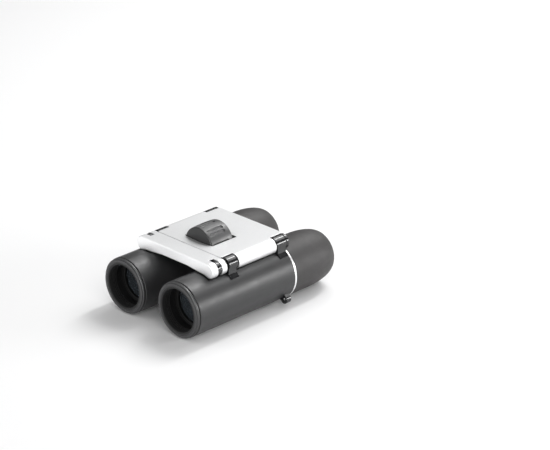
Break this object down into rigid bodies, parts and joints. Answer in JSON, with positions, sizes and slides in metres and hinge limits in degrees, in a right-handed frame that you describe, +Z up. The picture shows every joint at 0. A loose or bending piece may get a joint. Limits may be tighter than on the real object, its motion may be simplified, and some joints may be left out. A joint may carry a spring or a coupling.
{
  "type": "folding binoculars",
  "caption": "Compact folding roof-prism binoculars: silver bridge, ridged focus wheel, two hinged black barrels with sliding objectives and a turning diopter eyepiece.",
  "frame": {"origin": "middle of the footprint, on the surface that the two folded barrels lie on", "axes": "+Z up, +Y along the barrels from the objectives to the eyepieces, +X to the right seen from the objective end"},
  "size_m": [0.0696, 0.1006, 0.043],
  "materials": {
    "silver_paint": "satin silver paint on moulded plastic",
    "body_black": "fine soft-touch matte black coat",
    "frame_black": "moulded black plastic, fine grain",
    "gloss_black": "glossy black moulding",
    "wheel_rubber": "dark grey rubber, satin",
    "eyecup_rubber": "matte warm dark grey rubber",
    "steel": "bright turned steel",
    "polished_trim": "polished trim ring",
    "brass": "turned brass",
    "lens_glass": "coated lens glass",
    "prism_glass": "polished prism glass",
    "inner_black": "flat black inside parts"
  },
  "bodies": {
    "bridge": {"top_cover": "silver_paint", "bridge_frame": "frame_black", "bottom_cover": "frame_black", "bottom_cover_screws": "steel", "left_hinge_pin": "steel", "right_hinge_pin": "steel", "spindle_front_bush": "brass", "spindle_rear_bush": "brass"},
    "focus_wheel": {"wheel_grip": "wheel_rubber", "wheel_hub": "inner_black", "focus_spindle": "steel", "spindle_clip": "steel"},
    "focus_bar": {"focus_bar_cover": "silver_paint", "focus_bar_yoke": "frame_black", "focus_nut": "brass", "yoke_screws": "steel"},
    "left_barrel": {"left_barrel_tube": "body_black", "left_front_ring": "body_black", "left_front_bracket": "gloss_black", "left_rear_bracket": "gloss_black", "left_bracket_rivets": "steel", "left_trim_ring": "polished_trim", "left_prism_holder": "inner_black", "left_half_penta_prism": "prism_glass", "left_roof_prism": "prism_glass", "left_eyepiece_housing": "inner_black", "left_field_stop": "inner_black", "left_field_lens": "lens_glass", "left_eye_lens": "lens_glass", "left_eyecup": "eyecup_rubber", "left_eyecup_sleeve": "inner_black"},
    "right_barrel": {"right_barrel_tube": "body_black", "right_front_ring": "body_black", "right_front_bracket": "gloss_black", "right_rear_bracket": "gloss_black", "right_bracket_rivets": "steel", "right_trim_ring": "polished_trim", "right_prism_holder": "inner_black", "right_half_penta_prism": "prism_glass", "right_roof_prism": "prism_glass", "right_strap_lug": "gloss_black"},
    "right_eyepiece": {"right_eyepiece_housing": "inner_black", "right_field_stop": "inner_black", "right_field_lens": "lens_glass", "right_eye_lens": "lens_glass"},
    "diopter_ring": {"right_eyecup": "eyecup_rubber", "right_eyecup_sleeve": "inner_black"},
    "left_objective": {"left_lens_cell": "inner_black", "left_objective_lens": "lens_glass", "left_lens_retainer": "inner_black", "left_focus_arm": "gloss_black"},
    "right_objective": {"right_lens_cell": "inner_black", "right_objective_lens": "lens_glass", "right_lens_retainer": "inner_black", "right_focus_arm": "gloss_black"}
  },
  "joints": [
    {"name": "left_hinge", "type": "hinge", "parent": "bridge", "child": "left_barrel", "pos_m": [-0.024, 0, 0.0319], "axis": [0, 1, 0], "range_deg": [0, 55]},
    {"name": "right_hinge", "type": "hinge", "parent": "bridge", "child": "right_barrel", "pos_m": [0.024, 0, 0.0319], "axis": [0, -1, 0], "range_deg": [0, 55]},
    {"name": "focus_turn", "type": "hinge", "parent": "bridge", "child": "focus_wheel", "pos_m": [0, 0, 0.0327], "axis": [0, 1, 0], "range_deg": [0, 330]},
    {"name": "focus_slide", "type": "slide", "parent": "bridge", "child": "focus_bar", "axis": [0, -1, 0], "range_m": [0, 0.00166]},
    {"name": "left_focus", "type": "slide", "parent": "left_barrel", "child": "left_objective", "axis": [0, -1, 0], "range_m": [0, 0.00166]},
    {"name": "right_focus", "type": "slide", "parent": "right_barrel", "child": "right_objective", "axis": [0, -1, 0], "range_m": [0, 0.00166]},
    {"name": "diopter_turn", "type": "hinge", "parent": "right_barrel", "child": "diopter_ring", "pos_m": [0.0198, 0, 0.015], "axis": [0, 1, 0], "range_deg": [-120, 120]},
    {"name": "eyepiece_slide", "type": "slide", "parent": "right_barrel", "child": "right_eyepiece", "axis": [0, 1, 0], "range_m": [-0.00051, 0.00051]}
  ],
  "couplings": [
    {"joint": "focus_slide", "follows": "focus_turn", "m_per_rad": 0.00028648},
    {"joint": "left_focus", "follows": "focus_turn", "m_per_rad": 0.00028648},
    {"joint": "right_focus", "follows": "focus_turn", "m_per_rad": 0.00028648},
    {"joint": "eyepiece_slide", "follows": "diopter_turn", "m_per_rad": 0.00023873}
  ]
}
